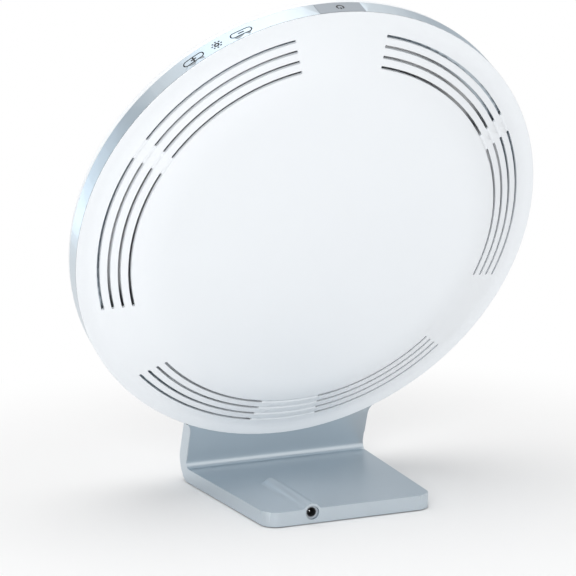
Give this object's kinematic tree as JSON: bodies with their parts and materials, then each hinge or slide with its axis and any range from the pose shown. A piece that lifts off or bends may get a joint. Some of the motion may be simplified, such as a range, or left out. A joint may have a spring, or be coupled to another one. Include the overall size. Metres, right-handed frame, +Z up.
{
  "type": "light therapy lamp",
  "caption": "Round light therapy lamp leaning back on a one-piece L-shaped stand, with three press keys in its rim and a power inlet in the base.",
  "frame": {"origin": "on the table, under the middle of the lamp's bounding box", "axes": "+Z up, +Y to the rear, where the slotted white cover and the power inlet are; the light shines to -Y"},
  "size_m": [0.35, 0.1567, 0.3642],
  "materials": {
    "silver_paint": "satin silver paint on moulded plastic",
    "white_cover": "smooth white moulded plastic",
    "opal_screen": "opal white, satin",
    "white_inner": "matte white",
    "inner_aluminium": "plain sheet",
    "white_board": "white solder mask",
    "diode": "phosphor",
    "green_board": "solder mask",
    "brass_spacer": "turned",
    "dark_part": "matte black",
    "capacitor_sleeve": "shrunk sleeve",
    "pale_part": "natural nylon",
    "grey_key": "satin grey",
    "silver_key": "satin silver paint",
    "plated_steel": "nickel plated",
    "foot_rubber": "soft matte",
    "dark_lead": "flexible vinyl sheath"
  },
  "bodies": {
    "lamp": {"ballast_plate": "plated_steel", "base_screws": "plated_steel", "board_spacers": "brass_spacer", "bracket_screws": "plated_steel", "capacitors": "capacitor_sleeve", "chassis_plate": "inner_aluminium", "chassis_screws": "plated_steel", "diffuser_screen": "opal_screen", "driver_board": "green_board", "driver_chip": "dark_part", "driver_screws": "plated_steel", "frame_shell": "silver_paint", "inductor": "dark_part", "jack_board": "green_board", "jack_housing": "dark_part", "jack_pin": "plated_steel", "jack_sleeve": "plated_steel", "key_lead": "dark_lead", "lead_clips": "pale_part", "level_key_board": "green_board", "light_board": "white_board", "light_diodes": "diode", "minus_switch": "dark_part", "plus_switch": "dark_part", "power_header": "pale_part", "power_key_board": "green_board", "power_lead": "dark_lead", "power_switch": "dark_part", "rear_cover": "white_cover", "reflector_ring": "white_inner", "rubber_feet": "foot_rubber", "stand_bracket": "plated_steel", "stand_cover": "silver_paint"},
    "power_key": {"power_button": "grey_key", "power_plunger": "pale_part"},
    "plus_key": {"plus_button": "silver_key", "plus_plunger": "pale_part"},
    "minus_key": {"minus_button": "silver_key", "minus_plunger": "pale_part"}
  },
  "joints": [
    {"name": "power_press", "type": "slide", "parent": "lamp", "child": "power_key", "axis": [0, -0.3678, -0.9299], "range_m": [0, 0.0005], "stiffness_N_per_m": 400},
    {"name": "plus_press", "type": "slide", "parent": "lamp", "child": "plus_key", "axis": [-0.5906, -0.2968, -0.7504], "range_m": [0, 0.0005], "stiffness_N_per_m": 400},
    {"name": "minus_press", "type": "slide", "parent": "lamp", "child": "minus_key", "axis": [-0.4067, -0.336, -0.8495], "range_m": [0, 0.0005], "stiffness_N_per_m": 400}
  ]
}
